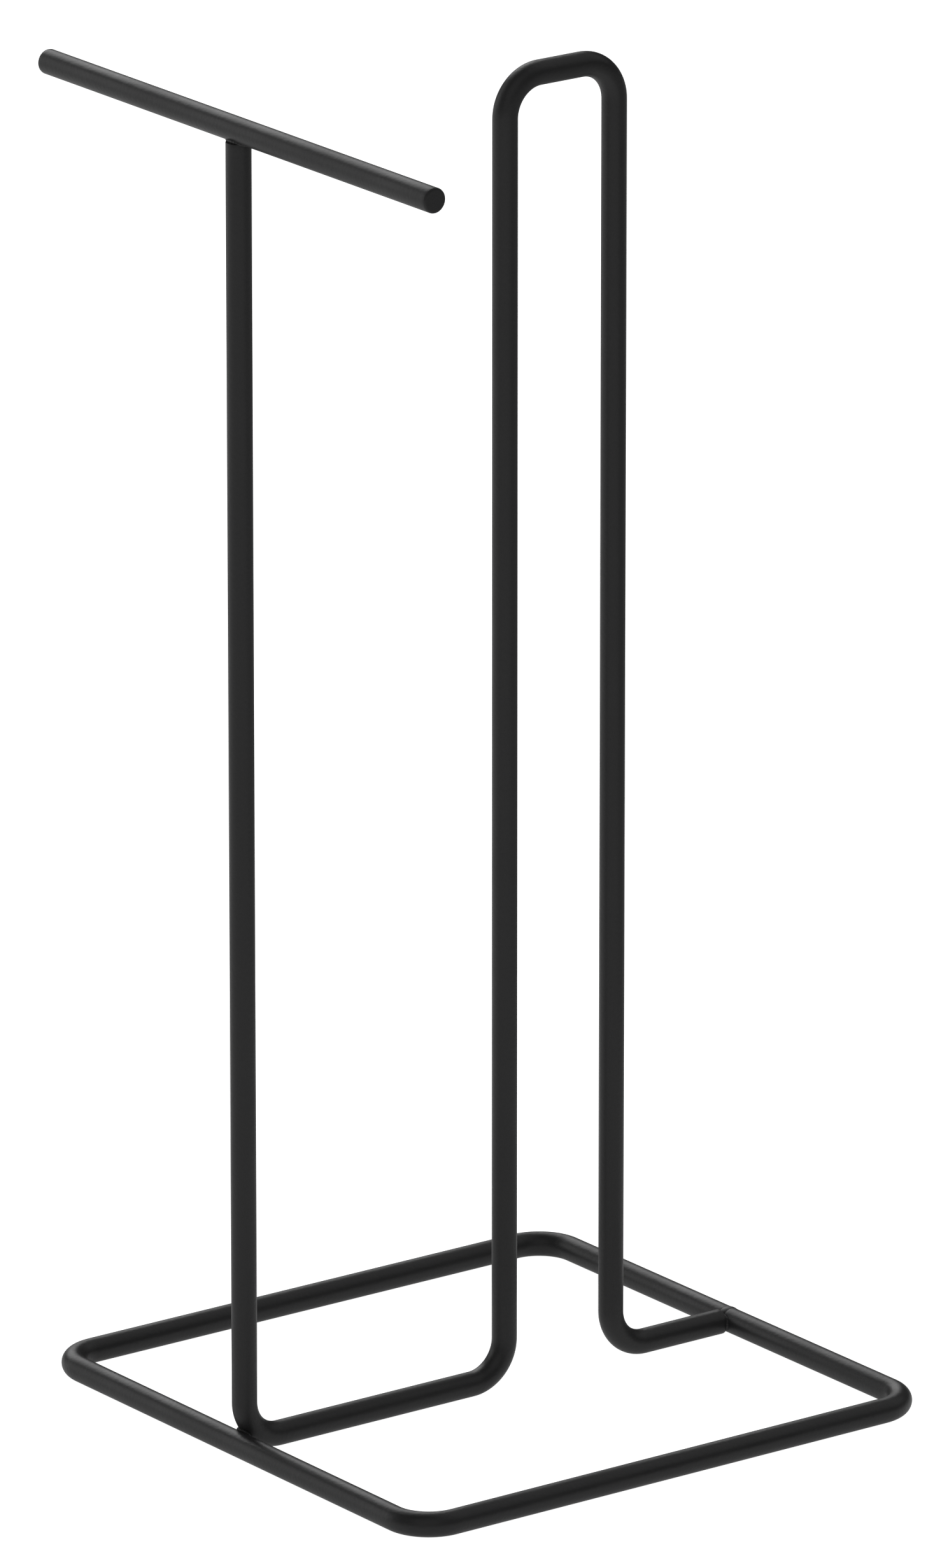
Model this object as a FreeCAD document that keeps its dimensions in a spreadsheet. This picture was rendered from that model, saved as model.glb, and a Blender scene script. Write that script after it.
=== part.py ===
import FreeCAD, Part
import math
import os
import Sketcher

# A free-standing toilet paper holder, bent and welded from one size of round steel rod.
#
# Frame: millimetres, +Z up. The origin is on the floor at the middle of the square base
# ring. The roll bar lies along X over the front (-Y) side of the ring, and the loop that
# takes the spare rolls stands behind it.
#
# One long rod makes the post, the run along the floor, the loop and the tail. It starts
# under the roll bar, comes down the post, bends along the floor, rises and falls round the
# loop, and ends against the rear side of the ring.

# Driving dimensions: the spreadsheet's alias, its value in mm, and what it measures.
DRIVING_DIMENSIONS = (
    ("rod_dia", 7.0, "diameter of every rod"),
    ("bend_radius", 11.3, "centre-line radius of every bend"),
    ("base_side", 176.0, "outside of the square base ring"),
    ("total_height", 377.0, "floor to the top of the bar and of the loop"),
    ("bar_length", 176.0, "roll bar from end to end"),
    ("bar_chamfer", 0.5, "chamfer round both ends of the roll bar"),
    ("loop_pitch", 36.7, "between the centre lines of the loop's legs"),
    ("loop_behind", 24.85, "middle of the loop behind the middle of the base"),
    ("seat_depth", 0.25, "how far a rod's end sinks into the rod it butts"),
    ("set_down", 0.15, "how far the foot bend is pressed into the ring"),
    ("seam_width", 1.2, "weld metal between the two ends of the ring"),
    ("weld_along", 4.6, "butt weld: half size along the crossing rod"),
    ("weld_across", 2.8, "butt weld: half size across the crossing rod"),
    ("weld_height", 1.2, "butt weld: half size along the butting rod"),
    ("weld_sink", 0.2, "butt weld: its middle below the crossing rod"),
    ("foot_weld_radius", 2.4, "radius of the foot weld's bead"),
)

# Places worked out from the driving dimensions, as expressions for the document.
ROD_RADIUS = "Dims.rod_dia / 2"
HALF_SEAM = "Dims.seam_width / 2"
RING_LINE = "(Dims.base_side - Dims.rod_dia) / 2"
TOP_LINE = "(Dims.total_height - Dims.rod_dia / 2)"
FOOT_REACH = "(Dims.bend_radius + Dims.rod_dia - Dims.set_down)"
FOOT_CENTRE_Y = f"(sqrt({FOOT_REACH}^2 - Dims.bend_radius^2) - {RING_LINE})"
FOOT_CENTRE_Z = "(Dims.bend_radius + Dims.rod_dia / 2)"
CONTACT_SHARE = f"((Dims.rod_dia - Dims.set_down) / 2 / {FOOT_REACH})"
POST_LINE = f"({FOOT_CENTRE_Y} - Dims.bend_radius)"
POST_END = "(Dims.total_height - Dims.rod_dia + Dims.seat_depth)"
FRONT_LEG_LINE = "(Dims.loop_behind - Dims.loop_pitch / 2)"
REAR_LEG_LINE = "(Dims.loop_behind + Dims.loop_pitch / 2)"
TAIL_END = "(Dims.base_side / 2 - Dims.rod_dia + Dims.seat_depth)"
CUT_LENGTH = "Dims.rod_dia * 2"

# The sketcher's own numbers for its axes and for the points of a piece of geometry.
ORIGIN_POINT = (-1, 1)
HORIZONTAL_AXIS = -1
VERTICAL_AXIS = -2
START = 1
END = 2
CENTRE = 3


def make_sheet(doc):
    """The spreadsheet that holds the driving dimensions."""
    sheet = doc.addObject("Spreadsheet::Sheet", "Dims")
    for row, (alias, value, meaning) in enumerate(DRIVING_DIMENSIONS, start=1):
        sheet.set(f"A{row}", meaning)
        sheet.set(f"B{row}", str(value))
        sheet.setAlias(f"B{row}", alias)
    doc.recompute()


def make_body(doc, name):
    """An empty body, labelled with its sub-part's name."""
    body = doc.addObject("PartDesign::Body", name)
    body.Label = name
    return body


def attach(feature, body, role, offsets):
    """Lay a sketch or a solid flat on one of the body's origin planes, moved by bound offsets."""
    plane = next(item for item in body.Origin.OriginFeatures if item.Role == role)
    feature.AttachmentSupport = [(plane, "")]
    feature.MapMode = "FlatFace"
    for axis, expression in offsets.items():
        feature.setExpression(f"AttachmentOffset.Base.{axis}", expression)


def add_sketch(body, name, role, offsets):
    """A new sketch on one of the body's origin planes."""
    sketch = body.newObject("Sketcher::SketchObject", name)
    attach(sketch, body, role, offsets)
    return sketch


def value_of(sketch, expression):
    """What an expression comes to with the spreadsheet as it stands."""
    return float(sketch.evalExpression(expression))


def hold_size(sketch, name, kind, target, size, expression):
    """Add a dimension and bind it to an expression."""
    index = sketch.addConstraint(Sketcher.Constraint(kind, *target, size))
    sketch.renameConstraint(index, name)
    sketch.setExpression(f"Constraints.{name}", expression)


def hold_place(sketch, name, kind, point, expression):
    """Hold one coordinate of a point, measured from the sketch's origin."""
    value = value_of(sketch, expression)
    if value > 0:
        hold_size(sketch, name, kind, (*ORIGIN_POINT, *point), value, expression)
    elif value < 0:
        hold_size(sketch, name, kind, (*point, *ORIGIN_POINT), -value, f"-({expression})")
    else:
        axis = VERTICAL_AXIS if kind == "DistanceX" else HORIZONTAL_AXIS
        sketch.addConstraint(Sketcher.Constraint("PointOnObject", *point, axis))


def add_circle(sketch, name, across, up):
    """The section of a rod, with its centre and diameter bound to the spreadsheet."""
    centre = FreeCAD.Vector(value_of(sketch, across), value_of(sketch, up), 0)
    diameter = value_of(sketch, "Dims.rod_dia")
    circle = Part.Circle(centre, FreeCAD.Vector(0, 0, 1), diameter / 2)
    index = sketch.addGeometry(circle)
    hold_place(sketch, f"{name}_across", "DistanceX", (index, CENTRE), across)
    hold_place(sketch, f"{name}_up", "DistanceY", (index, CENTRE), up)
    hold_size(sketch, f"{name}_dia", "Diameter", (index,), diameter, "Dims.rod_dia")


def add_bend(sketch, corner, before, after, radius):
    """The arc that rounds a right-angled corner: its number, then its entry and exit ends.

    before and after are the unit directions of the lines into and out of the corner.
    """
    centre = corner + (after - before) * radius
    circle = Part.Circle(centre, FreeCAD.Vector(0, 0, 1), radius)
    entry_angle = math.atan2(-after.y, -after.x)
    exit_angle = math.atan2(before.y, before.x)
    turns_left = before.x * after.y > before.y * after.x
    if turns_left:
        arc = sketch.addGeometry(Part.ArcOfCircle(circle, entry_angle, exit_angle))
        return arc, START, END
    # a sketch's arc runs anticlockwise, so a right-hand bend is drawn from its exit
    arc = sketch.addGeometry(Part.ArcOfCircle(circle, exit_angle, entry_angle))
    return arc, END, START


def add_rod_path(sketch, first_is_upright, stations):
    """A rod's centre line: straight lines at right angles, joined by equal tangent bends.

    stations are expressions: where the first line starts, then each line's place across
    its own direction, and last where the last line ends.
    """
    places = [value_of(sketch, station) for station in stations]
    radius = value_of(sketch, "Dims.bend_radius")
    # station k gives an across coordinate when line k is upright, else a height
    kinds = []
    for number in range(len(places)):
        upright = first_is_upright == (number % 2 == 1)
        kinds.append("DistanceX" if upright else "DistanceY")
    corners = []
    for number in range(len(places) - 1):
        here, following = places[number], places[number + 1]
        if kinds[number] == "DistanceX":
            corners.append(FreeCAD.Vector(here, following, 0))
        else:
            corners.append(FreeCAD.Vector(following, here, 0))

    line_count = len(corners) - 1
    line = None
    heading = None
    first_bend = None
    for number in range(1, line_count + 1):
        start, end = corners[number - 1], corners[number]
        direction = (end - start).normalize()
        bend = None
        if line is not None:
            bend, entry, leave = add_bend(sketch, start, heading, direction, radius)
            sketch.addConstraint(Sketcher.Constraint("Tangent", line, END, bend, entry))
            if first_bend is None:
                first_bend = bend
                hold_size(sketch, "bend", "Radius", (bend,), radius, "Dims.bend_radius")
            else:
                sketch.addConstraint(Sketcher.Constraint("Equal", first_bend, bend))
            start = start + direction * radius
        if number < line_count:
            end = end - direction * radius
        line = sketch.addGeometry(Part.LineSegment(start, end))
        lie = "Vertical" if kinds[number] == "DistanceX" else "Horizontal"
        sketch.addConstraint(Sketcher.Constraint(lie, line))
        if bend is not None:
            sketch.addConstraint(Sketcher.Constraint("Tangent", bend, leave, line, START))
        else:
            hold_place(sketch, "path_start", kinds[0], (line, START), stations[0])
        hold_place(sketch, f"line_{number}", kinds[number], (line, START), stations[number])
        heading = direction
    hold_place(sketch, "path_end", kinds[-1], (line, END), stations[-1])


def sweep_rod(body, name, section, path):
    """A rod: its round section carried along its centre line."""
    pipe = body.newObject("PartDesign::AdditivePipe", name)
    pipe.Profile = section
    pipe.Spine = (path, [f"Edge{number + 1}" for number in range(path.GeometryCount)])


def cut_along_normal(body, name, sketch, both_ways):
    """Pocket a sketch out of the body, both ways from its plane or only behind it."""
    pocket = body.newObject("PartDesign::Pocket", name)
    pocket.Profile = sketch
    pocket.SideType = "Symmetric" if both_ways else "One side"
    pocket.setExpression("Length", CUT_LENGTH)


def pad_rod(body, name, sketch, length):
    """A straight piece of rod, the same each way from its sketch's plane."""
    pad = body.newObject("PartDesign::Pad", name)
    pad.Profile = sketch
    pad.SideType = "Symmetric"
    pad.setExpression("Length", length)
    return pad


def cut_foot_bend(body):
    """Groove out the space that the stand rod's foot bend takes.

    The sketch's horizontal axis runs through the middle of the bend, along X.
    """
    offsets = {"y": FOOT_CENTRE_Y, "z": FOOT_CENTRE_Z}
    sketch = add_sketch(body, "foot_bend_section", "XY_Plane", offsets)
    add_circle(sketch, "bend", "0", "-Dims.bend_radius")
    groove = body.newObject("PartDesign::Groove", "foot_bend_space")
    groove.Profile = sketch
    groove.ReferenceAxis = (sketch, ["H_Axis"])
    groove.Midplane = True
    groove.Angle = 180


def make_base_frame(doc):
    """The square base ring, bent from one rod whose ends meet at the middle of the rear side.

    Its front side has a shallow dent where the stand rod's foot bend is pressed into it.
    """
    body = make_body(doc, "base_frame")
    path = add_sketch(body, "ring_path", "XY_Plane", {"z": ROD_RADIUS})
    stations = (
        HALF_SEAM,
        RING_LINE,
        RING_LINE,
        f"-{RING_LINE}",
        f"-{RING_LINE}",
        RING_LINE,
        f"-{HALF_SEAM}",
    )
    add_rod_path(path, False, stations)
    section = add_sketch(body, "ring_section", "YZ_Plane", {"z": HALF_SEAM})
    add_circle(section, "rod", RING_LINE, ROD_RADIUS)
    sweep_rod(body, "ring", section, path)
    cut_foot_bend(body)


def make_stand_rod(doc):
    """The post, floor run, spare roll loop and tail, bent from one rod in the plane x = 0.

    Both of its ends are cut square and seat a little way into the rods that they butt.
    """
    body = make_body(doc, "stand_rod")
    path = add_sketch(body, "stand_path", "YZ_Plane", {})
    stations = (
        POST_END,
        POST_LINE,
        ROD_RADIUS,
        FRONT_LEG_LINE,
        TOP_LINE,
        REAR_LEG_LINE,
        ROD_RADIUS,
        TAIL_END,
    )
    add_rod_path(path, True, stations)
    section = add_sketch(body, "stand_section", "XY_Plane", {"z": POST_END})
    add_circle(section, "rod", "0", POST_LINE)
    sweep_rod(body, "stand", section, path)
    seats = add_sketch(body, "end_seats", "YZ_Plane", {})
    add_circle(seats, "roll_bar", POST_LINE, TOP_LINE)
    add_circle(seats, "rear_side", RING_LINE, ROD_RADIUS)
    cut_along_normal(body, "end_seat_cuts", seats, True)


def make_roll_bar(doc):
    """The straight bar across the top of the post, with both ends chamfered."""
    body = make_body(doc, "roll_bar")
    section = add_sketch(body, "bar_section", "YZ_Plane", {})
    add_circle(section, "rod", POST_LINE, TOP_LINE)
    bar = pad_rod(body, "bar", section, "Dims.bar_length")
    doc.recompute()
    rims = [
        f"Edge{number}"
        for number, edge in enumerate(bar.Shape.Edges, start=1)
        if isinstance(edge.Curve, Part.Circle)
    ]
    chamfer = body.newObject("PartDesign::Chamfer", "end_chamfers")
    chamfer.Base = (bar, rims)
    chamfer.setExpression("Size", "Dims.bar_chamfer")


def make_base_seam_weld(doc):
    """The butt weld that closes the base ring, ground flush with the rod."""
    body = make_body(doc, "base_seam_weld")
    section = add_sketch(body, "seam_section", "YZ_Plane", {})
    add_circle(section, "rod", RING_LINE, ROD_RADIUS)
    pad_rod(body, "seam", section, "Dims.seam_width")


def make_butt_weld(doc, name, end_y, end_z, turn_degrees):
    """The bead round a rod's square end where it butts the side of another rod.

    In the body's own frame the crossing rod lies along X just over the origin, and the
    butting rod comes up Z to it. The bead fills the gap between the flat end and the
    crossing rod's round side, and stands a little way out along the crossing rod.
    end_y and end_z say where that origin goes, and turn_degrees turns the body about X.
    """
    body = make_body(doc, name)
    bead = body.newObject("PartDesign::AdditiveEllipsoid", "bead")
    attach(bead, body, "XY_Plane", {"z": "-Dims.weld_sink"})
    bead.setExpression("Radius1", "Dims.weld_height")
    bead.setExpression("Radius2", "Dims.weld_along")
    bead.setExpression("Radius3", "Dims.weld_across")
    crossing = add_sketch(body, "crossing_section", "YZ_Plane", {})
    add_circle(crossing, "rod", "0", ROD_RADIUS)
    cut_along_normal(body, "crossing_rod_space", crossing, True)
    butting = add_sketch(body, "butting_section", "XY_Plane", {"z": "Dims.seat_depth"})
    add_circle(butting, "rod", "0", "0")
    cut_along_normal(body, "butting_rod_space", butting, False)
    body.Placement.Rotation = FreeCAD.Rotation(FreeCAD.Vector(1, 0, 0), turn_degrees)
    body.setExpression("Placement.Base.y", end_y)
    body.setExpression("Placement.Base.z", end_z)


def make_post_foot_weld(doc):
    """The bead round the spot where the stand rod's foot bend bears on the ring's front side."""
    body = make_body(doc, "post_foot_weld")
    bead = body.newObject("PartDesign::AdditiveSphere", "bead")
    contact = {
        "y": f"{FOOT_CENTRE_Y} * {CONTACT_SHARE} - {RING_LINE} * (1 - {CONTACT_SHARE})",
        "z": f"{ROD_RADIUS} + Dims.bend_radius * {CONTACT_SHARE}",
    }
    attach(bead, body, "XY_Plane", contact)
    bead.setExpression("Radius", "Dims.foot_weld_radius")
    front_side = add_sketch(body, "front_side_section", "YZ_Plane", {})
    add_circle(front_side, "rod", f"-{RING_LINE}", ROD_RADIUS)
    cut_along_normal(body, "front_side_space", front_side, True)
    cut_foot_bend(body)


def check_document(doc):
    """Stop if an object failed, a shape is bad, a sketch is loose or a cut removed nothing."""
    for item in doc.Objects:
        if "Invalid" in item.State or "Error" in item.State:
            raise RuntimeError(f"{item.Name} failed: {item.State}")
        if item.TypeId == "Sketcher::SketchObject" and not item.FullyConstrained:
            raise RuntimeError(f"{item.Name} is not fully constrained")
        if item.TypeId in ("PartDesign::Pocket", "PartDesign::Groove"):
            if item.BaseFeature.Shape.Volume - item.Shape.Volume < 1e-3:
                raise RuntimeError(f"{item.Name} removed nothing")
        if item.TypeId == "PartDesign::Body":
            if item.Shape.isNull() or not item.Shape.isValid():
                raise RuntimeError(f"{item.Label} has no valid shape")
            if len(item.Shape.Solids) != 1:
                raise RuntimeError(f"{item.Label} is {len(item.Shape.Solids)} solids")


def write_parts(doc):
    """Write each sub-part's solid to a file named after its label."""
    os.makedirs("parts", exist_ok=True)
    for body in doc.findObjects("PartDesign::Body"):
        body.Shape.exportStep(f"parts/{body.Label}.step")
        print(f"{body.Label}: {body.Shape.Volume:.1f} mm3")


holder = FreeCAD.newDocument("toilet_paper_holder")
make_sheet(holder)
make_base_frame(holder)
make_base_seam_weld(holder)
make_stand_rod(holder)
make_post_foot_weld(holder)
make_butt_weld(holder, "tail_weld", "Dims.base_side / 2 - Dims.rod_dia", ROD_RADIUS, -90)
make_roll_bar(holder)
make_butt_weld(holder, "roll_bar_weld", POST_LINE, "Dims.total_height - Dims.rod_dia", 0)
holder.recompute()
check_document(holder)
write_parts(holder)
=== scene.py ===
import math

import bpy
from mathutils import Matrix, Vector


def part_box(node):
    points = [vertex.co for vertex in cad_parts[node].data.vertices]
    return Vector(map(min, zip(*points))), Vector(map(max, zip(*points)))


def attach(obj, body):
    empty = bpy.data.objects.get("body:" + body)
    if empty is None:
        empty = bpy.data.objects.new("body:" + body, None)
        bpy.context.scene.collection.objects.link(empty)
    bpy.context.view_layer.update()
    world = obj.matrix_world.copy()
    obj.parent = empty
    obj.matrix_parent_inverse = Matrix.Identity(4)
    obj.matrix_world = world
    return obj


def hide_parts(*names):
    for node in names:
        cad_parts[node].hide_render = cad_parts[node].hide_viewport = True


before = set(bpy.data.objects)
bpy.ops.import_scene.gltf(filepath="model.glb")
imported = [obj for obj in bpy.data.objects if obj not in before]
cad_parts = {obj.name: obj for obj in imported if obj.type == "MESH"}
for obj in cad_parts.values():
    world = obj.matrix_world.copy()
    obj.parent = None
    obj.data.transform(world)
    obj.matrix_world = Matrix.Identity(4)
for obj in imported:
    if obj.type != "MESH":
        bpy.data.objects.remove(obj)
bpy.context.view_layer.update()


# Base ring. One length of round mild steel rod, bent cold at four corners into a square that
# lies on the floor. It is cut so that its two ends meet at the middle of the rear side.

ring_low, ring_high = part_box("base_frame")
seam_low, seam_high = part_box("base_seam_weld")
rod_radius = (ring_high.z - ring_low.z) / 2
bend_radius = 0.0113
ring_line = ring_high.y - rod_radius
rod_sides = 64
bend_steps = 24
collar = 0.0015
cut_edge = 0.0001
crease_angle = math.radians(40)


def draw_rod(name, start, heading, steps):
    """Draws a rod out of its round section, as a bender feeds it, with both ends open.

    A number in steps is a straight length. A vector is the axis of a quarter bend, which
    turns the heading by the right-hand rule. A straight has a ring of points one collar from
    each of its ends, so that the shading of a bend or a cut doesn't run along it.
    """
    bpy.ops.object.select_all(action="DESELECT")
    bpy.ops.mesh.primitive_circle_add(
        vertices=rod_sides,
        radius=rod_radius,
        fill_type="NOTHING",
        location=start,
        rotation=heading.to_track_quat("Z", "Y").to_euler(),
    )
    rod = bpy.context.object
    rod.name = name
    rod.data.name = name
    bpy.ops.object.transform_apply(location=True, rotation=True, scale=True)
    bpy.ops.object.mode_set(mode="EDIT")
    bpy.ops.mesh.select_mode(type="EDGE")
    bpy.ops.mesh.select_all(action="SELECT")
    place = start.copy()
    for step in steps:
        if isinstance(step, Vector):
            inward = step.cross(heading)
            centre = place + inward * bend_radius
            # the spin tool turns left-handed, so the angle is negative
            bpy.ops.mesh.spin(
                steps=bend_steps, angle=-math.pi / 2, center=centre, axis=step
            )
            place = centre + heading * bend_radius
            heading = inward
        else:
            for length in (collar, step - 2 * collar, collar):
                reach = heading * length
                bpy.ops.mesh.extrude_region_move(TRANSFORM_OT_translate={"value": reach})
                place = place + reach
    bpy.ops.mesh.select_all(action="SELECT")
    bpy.ops.mesh.remove_doubles(threshold=rod_radius / 1000)
    bpy.ops.object.mode_set(mode="OBJECT")
    return rod


def pick_ends(rod):
    """Goes into edit mode with only a rod's two flat ends selected."""
    bpy.ops.object.mode_set(mode="OBJECT")
    for face in rod.data.polygons:
        face.select = len(face.vertices) == rod_sides
    bpy.ops.object.mode_set(mode="EDIT")


def cap_rod(rod, chamfer):
    """Closes both ends of a rod with a flat face inside a small chamfer."""
    bpy.ops.object.mode_set(mode="EDIT")
    bpy.ops.mesh.select_all(action="DESELECT")
    bpy.ops.mesh.select_mode(type="EDGE")
    bpy.ops.mesh.select_non_manifold()
    bpy.ops.mesh.edge_face_add()
    bpy.ops.mesh.select_mode(type="FACE")
    pick_ends(rod)
    bpy.ops.mesh.bevel(offset=chamfer, segments=3, affect="EDGES")
    pick_ends(rod)
    bpy.ops.mesh.inset(thickness=chamfer / 2)
    bpy.ops.mesh.select_all(action="SELECT")
    bpy.ops.mesh.normals_make_consistent(inside=False)
    bpy.ops.object.mode_set(mode="OBJECT")
    bpy.ops.object.shade_smooth_by_angle(angle=crease_angle)


up = Vector((0, 0, 1))
ring_side = 2 * (ring_line - bend_radius)
half_rear_side = ring_side / 2 - seam_high.x
base_ring = draw_rod(
    "base_ring",
    Vector((seam_high.x, ring_line, rod_radius)),
    Vector((1, 0, 0)),
    [half_rear_side, -up, ring_side, -up, ring_side, -up, ring_side, -up, half_rear_side],
)
cap_rod(base_ring, cut_edge)
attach(base_ring, "root")
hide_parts("base_frame")

# The black powder coat melts into a skin with a faint, rounded orange peel. Thicker and
# thinner patches of it are a little smoother or duller.


def group_socket(group, name, kind, way, value=None):
    """Adds one named socket to a node group."""
    socket = group.interface.new_socket(name=name, in_out=way, socket_type=kind)
    if value is not None:
        socket.default_value = value


coat_group = bpy.data.node_groups.new("powder_coat_skin", "ShaderNodeTree")
group_socket(coat_group, "Peel size", "NodeSocketFloat", "INPUT", 0.0011)
group_socket(coat_group, "Patch size", "NodeSocketFloat", "INPUT", 0.018)
group_socket(coat_group, "Dark", "NodeSocketColor", "INPUT")
group_socket(coat_group, "Light", "NodeSocketColor", "INPUT")
group_socket(coat_group, "Smooth", "NodeSocketFloat", "INPUT", 0.38)
group_socket(coat_group, "Dull", "NodeSocketFloat", "INPUT", 0.47)
group_socket(coat_group, "Color", "NodeSocketColor", "OUTPUT")
group_socket(coat_group, "Roughness", "NodeSocketFloat", "OUTPUT")
group_socket(coat_group, "Height", "NodeSocketFloat", "OUTPUT")


def add_node(tree, kind, **settings):
    """Adds a node and sets its plain properties."""
    node = tree.nodes.new(kind)
    for key, value in settings.items():
        setattr(node, key, value)
    return node


group_in = add_node(coat_group, "NodeGroupInput")
group_out = add_node(coat_group, "NodeGroupOutput")
place_in = add_node(coat_group, "ShaderNodeTexCoord")
peel_scale = add_node(coat_group, "ShaderNodeMath", operation="DIVIDE")
peel_scale.inputs[0].default_value = 1.0
patch_scale = add_node(coat_group, "ShaderNodeMath", operation="DIVIDE")
patch_scale.inputs[0].default_value = 1.0
peel = add_node(coat_group, "ShaderNodeTexNoise")
peel.inputs["Detail"].default_value = 1.5
patch = add_node(coat_group, "ShaderNodeTexNoise")
patch.inputs["Detail"].default_value = 3.0
tone = add_node(coat_group, "ShaderNodeMix", data_type="RGBA")
gloss = add_node(coat_group, "ShaderNodeMapRange")
gloss.inputs["From Min"].default_value = 0.3
gloss.inputs["From Max"].default_value = 0.7
link = coat_group.links.new
link(group_in.outputs["Peel size"], peel_scale.inputs[1])
link(group_in.outputs["Patch size"], patch_scale.inputs[1])
link(place_in.outputs["Object"], peel.inputs["Vector"])
link(place_in.outputs["Object"], patch.inputs["Vector"])
link(peel_scale.outputs["Value"], peel.inputs["Scale"])
link(patch_scale.outputs["Value"], patch.inputs["Scale"])
link(patch.outputs["Fac"], tone.inputs["Factor"])
link(group_in.outputs["Dark"], tone.inputs["A"])
link(group_in.outputs["Light"], tone.inputs["B"])
link(patch.outputs["Fac"], gloss.inputs["Value"])
link(group_in.outputs["Smooth"], gloss.inputs["To Min"])
link(group_in.outputs["Dull"], gloss.inputs["To Max"])
link(tone.outputs["Result"], group_out.inputs["Color"])
link(gloss.outputs["Result"], group_out.inputs["Roughness"])
link(peel.outputs["Fac"], group_out.inputs["Height"])


peel_height = 0.00006


def powder_coat(name, dark, light):
    """A satin black powder coat on metal, whose colour wanders between a dark and a light."""
    material = bpy.data.materials.new(name)
    material.use_nodes = True
    tree = material.node_tree
    shader = tree.nodes["Principled BSDF"]
    shader.inputs["IOR"].default_value = 1.5
    shader.inputs["Specular IOR Level"].default_value = 0.28
    skin = add_node(tree, "ShaderNodeGroup", node_tree=coat_group)
    skin.inputs["Dark"].default_value = (*dark, 1)
    skin.inputs["Light"].default_value = (*light, 1)
    relief = add_node(tree, "ShaderNodeBump")
    relief.inputs["Distance"].default_value = peel_height
    relief.inputs["Strength"].default_value = 1.0
    tree.links.new(skin.outputs["Color"], shader.inputs["Base Color"])
    tree.links.new(skin.outputs["Roughness"], shader.inputs["Roughness"])
    tree.links.new(skin.outputs["Height"], relief.inputs["Height"])
    tree.links.new(relief.outputs["Normal"], shader.inputs["Normal"])
    return material


rod_coat = powder_coat("rod_coat", (0.020, 0.020, 0.0204), (0.025, 0.025, 0.0254))
base_ring.data.materials.append(rod_coat)


# Base seam weld. The butt weld that closes the ring, at the middle of the rear side. It is filed
# to a low crown that runs out over both rod ends, and level with the rod where it meets the floor.


def pick(piece, test):
    """Goes into edit mode with only the points selected whose place passes a test."""
    bpy.ops.object.mode_set(mode="EDIT")
    bpy.ops.mesh.select_mode(type="VERT")
    bpy.ops.mesh.select_all(action="DESELECT")
    bpy.ops.object.mode_set(mode="OBJECT")
    for point in piece.data.vertices:
        point.select = test(point.co)
    bpy.ops.object.mode_set(mode="EDIT")


seam_bands = 12
seam_spread = 0.0008
seam_sink = 0.008
seam_crown = 0.030
seam_start = seam_low.x - seam_spread
seam_band = (seam_high.x + seam_spread - seam_start) / seam_bands
bpy.ops.object.select_all(action="DESELECT")
bpy.ops.mesh.primitive_circle_add(
    vertices=rod_sides,
    radius=rod_radius,
    fill_type="NGON",
    location=(seam_start, ring_line, rod_radius),
    rotation=(0, math.pi / 2, 0),
)
seam_bead = bpy.context.object
seam_bead.name = "base_seam_bead"
seam_bead.data.name = "base_seam_bead"
bpy.ops.object.transform_apply(location=True, rotation=True, scale=True)
bpy.ops.object.mode_set(mode="EDIT")
bpy.ops.mesh.select_all(action="SELECT")
for band in range(seam_bands):
    bpy.ops.mesh.extrude_region_move(TRANSFORM_OT_translate={"value": (seam_band, 0, 0)})
for band in range(seam_bands + 1):
    middle = seam_start + band * seam_band
    swell = 1 - seam_sink + seam_crown * math.sin(math.pi * band / seam_bands)
    pick(seam_bead, lambda co: abs(co.x - middle) < seam_band / 3)
    # each band swells from where it touches the floor, so that it stays flat underneath
    bpy.ops.transform.resize(value=(1, swell, swell), center_override=(0, ring_line, 0))
bpy.ops.mesh.select_all(action="SELECT")
bpy.ops.mesh.normals_make_consistent(inside=False)
bpy.ops.object.mode_set(mode="OBJECT")
bpy.ops.object.shade_smooth_by_angle(angle=crease_angle)
weld_coat = powder_coat("weld_coat", (0.018, 0.018, 0.0184), (0.023, 0.023, 0.0234))
seam_bead.data.materials.append(weld_coat)
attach(seam_bead, "root")
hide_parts("base_seam_weld")


# Stand rod. One long rod in the middle plane: the post, a run along the floor, up and down the
# tall loop for spare rolls, and a short tail to the ring's rear side. Both ends are cut square.

stand_low, stand_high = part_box("stand_rod")
post_line = stand_low.y + rod_radius
top_line = stand_high.z - rod_radius
tail_end = stand_high.y
loop_pitch = 0.0367
loop_middle = 0.02485
front_leg = loop_middle - loop_pitch / 2
rear_leg = loop_middle + loop_pitch / 2
bar_low, bar_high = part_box("roll_bar")
seat_depth = 0.00025
post_top = bar_low.z + seat_depth
across = Vector((1, 0, 0))
leg_length = top_line - rod_radius - 2 * bend_radius
stand_rod = draw_rod(
    "stand_bent_rod",
    Vector((0, post_line, post_top)),
    Vector((0, 0, -1)),
    [
        post_top - rod_radius - bend_radius,
        across,
        front_leg - post_line - 2 * bend_radius,
        across,
        leg_length,
        -across,
        loop_pitch - 2 * bend_radius,
        -across,
        leg_length,
        across,
        tail_end - rear_leg - bend_radius,
    ],
)
cap_rod(stand_rod, cut_edge)
stand_rod.data.materials.append(rod_coat)
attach(stand_rod, "root")
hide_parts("stand_rod")


# Foot weld. A small round of weld metal where the foot of the post rests on the ring's front
# side. It lies in the narrow gap between the two round rods, and its ripples show through.

bead_radius = 0.0006
bead_columns = 84
bead_reach = 0.0030
ripple = (0.5, 1, -0.9)


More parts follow.
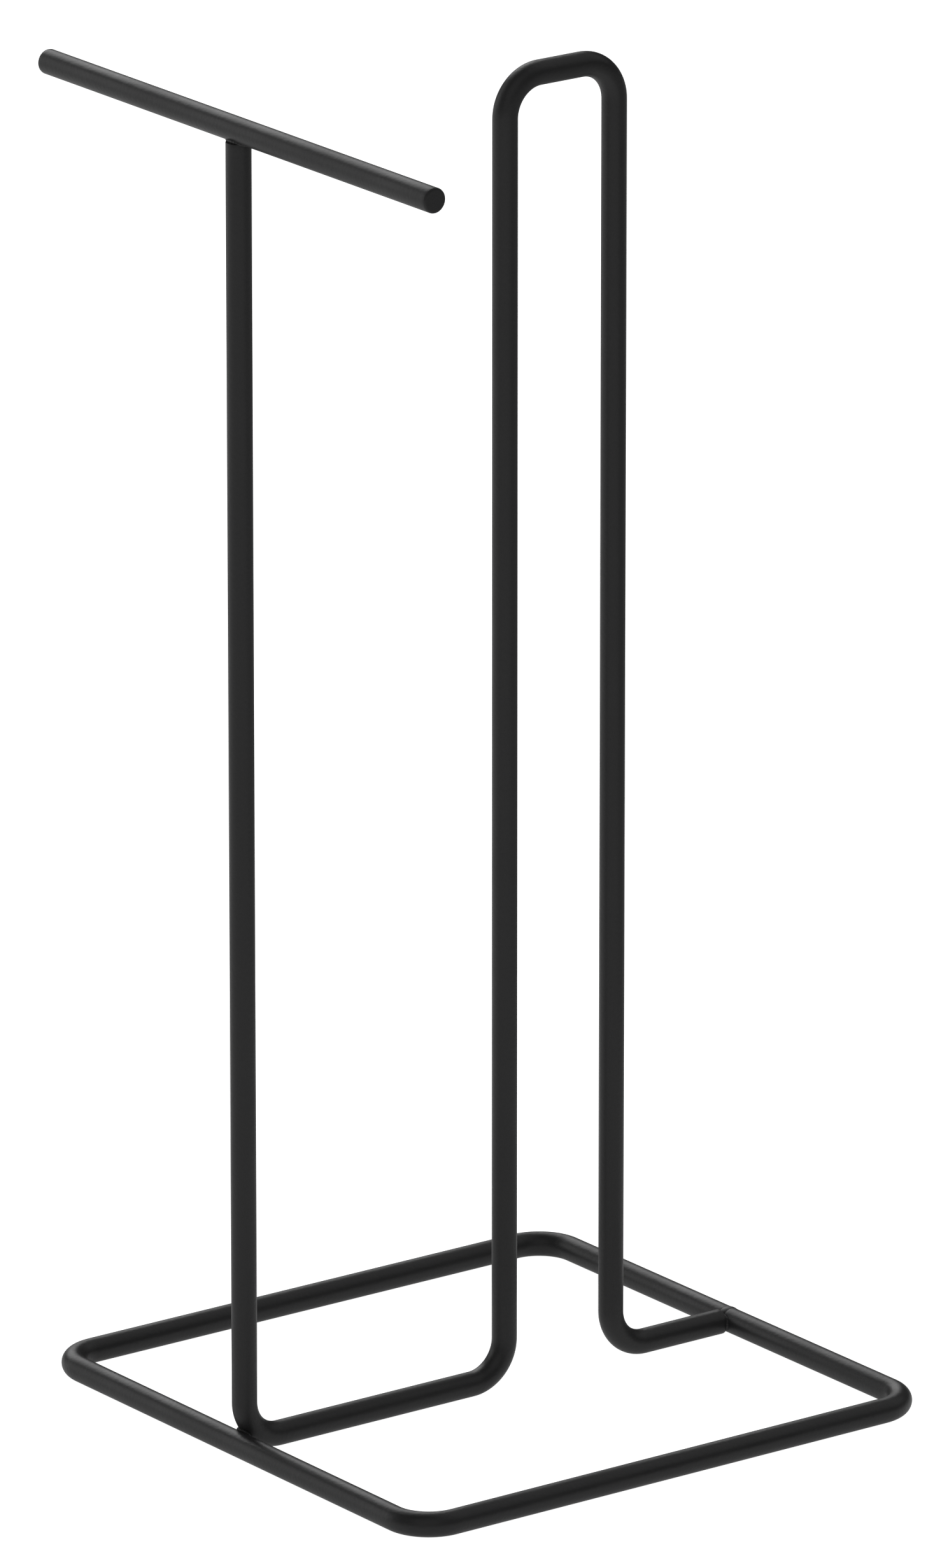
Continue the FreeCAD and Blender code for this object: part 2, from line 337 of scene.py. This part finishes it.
def lay_bead(name, ring_radius, ripple_height):
    """Lays a closed, rippled bead round the origin, flat in the XY plane.

    A ripple is three columns of points wide: it rises, peaks and falls into the next one.
    """
    bpy.ops.object.select_all(action="DESELECT")
    bpy.ops.mesh.primitive_torus_add(
        major_segments=bead_columns,
        minor_segments=20,
        major_radius=ring_radius,
        minor_radius=bead_radius,
    )
    bead = bpy.context.object
    bead.name = name
    bead.data.name = name

    def column(co):
        return round(math.atan2(co.y, co.x) / math.tau * bead_columns)

    for phase, rise in enumerate(ripple):
        pick(bead, lambda co: column(co) % len(ripple) == phase)
        bpy.ops.transform.shrink_fatten(value=ripple_height * rise)
    return bead


def finish_bead(bead, node):
    """Rounds a bead off, fixes its place in its mesh and gives it its finish."""
    bpy.ops.object.mode_set(mode="OBJECT")
    bpy.ops.object.transform_apply(location=True, rotation=True, scale=True)
    rounding = bead.modifiers.new("rounding", "SUBSURF")
    rounding.levels = 1
    rounding.render_levels = 1
    bpy.ops.object.modifier_apply(modifier=rounding.name)
    bpy.ops.object.shade_smooth_by_angle(angle=math.radians(60))
    bead.data.materials.append(weld_coat)
    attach(bead, "root")
    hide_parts(node)


def bow_bead(bead, test, shift):
    """Pulls the part of a bead that passes a test, and its neighbours with it."""
    pick(bead, test)
    bpy.ops.transform.translate(
        value=shift,
        use_proportional_edit=True,
        proportional_edit_falloff="SMOOTH",
        proportional_size=bead_reach,
    )


foot_ring = 0.0019
foot_ripple = 0.00005
foot_bow = 0.0003
foot_centre = Vector((0, post_line + bend_radius, rod_radius + bend_radius))
ring_front = Vector((0, -ring_line, rod_radius))
foot_lean = (foot_centre - ring_front).normalized()
foot_bead = lay_bead("post_foot_bead", foot_ring, foot_ripple)
for side in (-1, 1):
    bow_bead(foot_bead, lambda co: side * co.x > foot_ring, (0, 0, foot_bow))
    bow_bead(foot_bead, lambda co: side * co.y > foot_ring, (0, 0, -foot_bow))
bpy.ops.object.mode_set(mode="OBJECT")
foot_bead.rotation_euler = (-math.atan2(foot_lean.y, foot_lean.z), 0, 0)
foot_bead.location = ring_front + foot_lean * rod_radius
finish_bead(foot_bead, "post_foot_weld")


# Tail weld. A bead in the corner between the square end of the tail and the round side of the
# ring. It is drawn out along the ring, and lies inside the rod's own outline above and below.

butt_ring = 0.0020
butt_ripple = 0.00006
butt_stretch = 0.0016
butt_lift = 0.0005


def lay_butt_bead(name):
    """Lays a bead for a square rod end against the side of a crossing rod that runs along X."""
    bead = lay_bead(name, butt_ring, butt_ripple)
    for side in (-1, 1):
        bow_bead(bead, lambda co: side * co.x > butt_ring, (side * butt_stretch, 0, 0))
    for side in (-1, 1):
        bow_bead(bead, lambda co: side * co.y > butt_ring, (0, 0, butt_lift))
    bpy.ops.object.mode_set(mode="OBJECT")
    return bead


tail_bead = lay_butt_bead("tail_end_bead")
tail_bead.rotation_euler = (-math.pi / 2, 0, 0)
tail_bead.location = (0, ring_line - rod_radius, rod_radius)
finish_bead(tail_bead, "tail_weld")


# Roll bar. A straight piece of the same rod, sawn to length, with both rims chamfered so that
# a roll's core slides on. It lies across the top of the post.

bar_chamfer = 0.0005
roll_bar = draw_rod(
    "roll_bar_rod",
    Vector((bar_low.x, post_line, top_line)),
    across,
    [bar_high.x - bar_low.x],
)
cap_rod(roll_bar, bar_chamfer)
roll_bar.data.materials.append(rod_coat)
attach(roll_bar, "root")
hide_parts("roll_bar")


# Roll bar weld. The same bead as at the tail, laid upright between the square top of the post
# and the underside of the bar.

bar_bead = lay_butt_bead("roll_bar_bead")
bar_bead.location = (0, post_line, top_line - rod_radius)
finish_bead(bar_bead, "roll_bar_weld")


# Floor. A plain white studio floor, wide enough to fill the view from any side. It glows like a
# light table, white to the camera, so no shadow shows. To the rods the glow is painted light:
# dimmer, and dark behind them.

floor_width = 80
bpy.ops.object.select_all(action="DESELECT")
bpy.ops.mesh.primitive_plane_add(size=floor_width)
floor = bpy.context.object
floor.name = "studio_floor"
bpy.ops.object.mode_set(mode="EDIT")
bpy.ops.mesh.subdivide(number_cuts=3)
bpy.ops.object.mode_set(mode="OBJECT")
floor_painted_glow = bpy.data.materials.new("floor_painted_glow")
floor_painted_glow.use_nodes = True
floor_tree = floor_painted_glow.node_tree
floor_shader = floor_tree.nodes["Principled BSDF"]
floor_shader.inputs["Base Color"].default_value = (0.6, 0.6, 0.6, 1)
floor_shader.inputs["Roughness"].default_value = 0.9
floor_shader.inputs["Specular IOR Level"].default_value = 0.1
floor_shader.inputs["Emission Color"].default_value = (1, 1, 1, 1)
floor_place = add_node(floor_tree, "ShaderNodeTexCoord")
floor_axes = add_node(floor_tree, "ShaderNodeSeparateXYZ")
# painted glow seen by the rods: it fades to dark behind the holder, standing in for light falloff
# in their reflections
painted_glow_falloff = add_node(floor_tree, "ShaderNodeMapRange", interpolation_type="SMOOTHSTEP")
painted_glow_falloff.inputs["From Min"].default_value = 0.08
painted_glow_falloff.inputs["From Max"].default_value = 0.40
painted_glow_falloff.inputs["To Min"].default_value = 0.47
painted_glow_falloff.inputs["To Max"].default_value = 0.02
floor_seen = add_node(floor_tree, "ShaderNodeLightPath")
glow = add_node(floor_tree, "ShaderNodeMix", data_type="FLOAT")
glow.inputs["B"].default_value = 1.02
floor_tree.links.new(floor_place.outputs["Object"], floor_axes.inputs["Vector"])
floor_tree.links.new(floor_axes.outputs["Y"], painted_glow_falloff.inputs["Value"])
floor_tree.links.new(floor_seen.outputs["Is Camera Ray"], glow.inputs["Factor"])
floor_tree.links.new(painted_glow_falloff.outputs["Result"], glow.inputs["A"])
floor_tree.links.new(glow.outputs["Result"], floor_shader.inputs["Emission Strength"])
floor.data.materials.append(floor_painted_glow)


# Studio light. Four large soft lamps far off: a high one on the left, a low one to the left of
# the front, a broad one behind, and a faint one on the right of the front that fills in. The
# surround is dark to the rods and white to the camera.


def soft_lamp(name, azimuth, elevation, spread, strength):
    """A round lamp far off, seen that many degrees wide. Azimuth 0 is in front, 90 to the right."""
    lamp = bpy.data.lights.new(name, "SUN")
    lamp.energy = strength
    lamp.angle = math.radians(spread)
    lamp_object = bpy.data.objects.new(name, lamp)
    bpy.context.scene.collection.objects.link(lamp_object)
    side = math.radians(azimuth)
    rise = math.radians(elevation)
    level = Vector((math.sin(side), -math.cos(side), 0))
    source = level * math.cos(rise) + Vector((0, 0, math.sin(rise)))
    lamp_object.rotation_mode = "QUATERNION"
    lamp_object.rotation_quaternion = source.to_track_quat("Z", "Y")


soft_lamp("left_lamp", -110, 34, 40, 1.10)
soft_lamp("front_lamp", -54, 16, 42, 0.57)
soft_lamp("rear_lamp", 160, 52, 64, 0.56)
soft_lamp("fill_lamp", 48, 40, 60, 0.45)

surround = bpy.data.worlds.new("studio_surround")
surround.use_nodes = True
bpy.context.scene.world = surround
world_tree = surround.node_tree
background = world_tree.nodes["Background"]
background.inputs["Color"].default_value = (1, 1, 1, 1)
world_seen = add_node(world_tree, "ShaderNodeLightPath")
white_out = add_node(world_tree, "ShaderNodeMix", data_type="FLOAT")
white_out.inputs["A"].default_value = 0.02
white_out.inputs["B"].default_value = 1.1
world_tree.links.new(world_seen.outputs["Is Camera Ray"], white_out.inputs["Factor"])
world_tree.links.new(white_out.outputs["Result"], background.inputs["Strength"])
bpy.context.scene.view_settings.view_transform = "Standard"


# Camera. A long lens a good way off, to the right of the front and a little above.

camera_azimuth = math.radians(53.49)
camera_elevation = math.radians(17.64)
camera_distance = 4.155
camera_data = bpy.data.cameras.new("camera")
camera_data.sensor_width = 36
camera_data.lens = 350.65
camera = bpy.data.objects.new("camera", camera_data)
bpy.context.scene.collection.objects.link(camera)
back = Vector(
    (
        math.sin(camera_azimuth) * math.cos(camera_elevation),
        -math.cos(camera_azimuth) * math.cos(camera_elevation),
        math.sin(camera_elevation),
    )
)
aim = Vector((0, -0.00389, 0.17672))
camera.location = aim + back * camera_distance
camera.rotation_mode = "QUATERNION"
camera.rotation_quaternion = (-back).to_track_quat("-Z", "Y")
camera_data.clip_start = 0.1
camera_data.clip_end = 200
bpy.context.scene.camera = camera
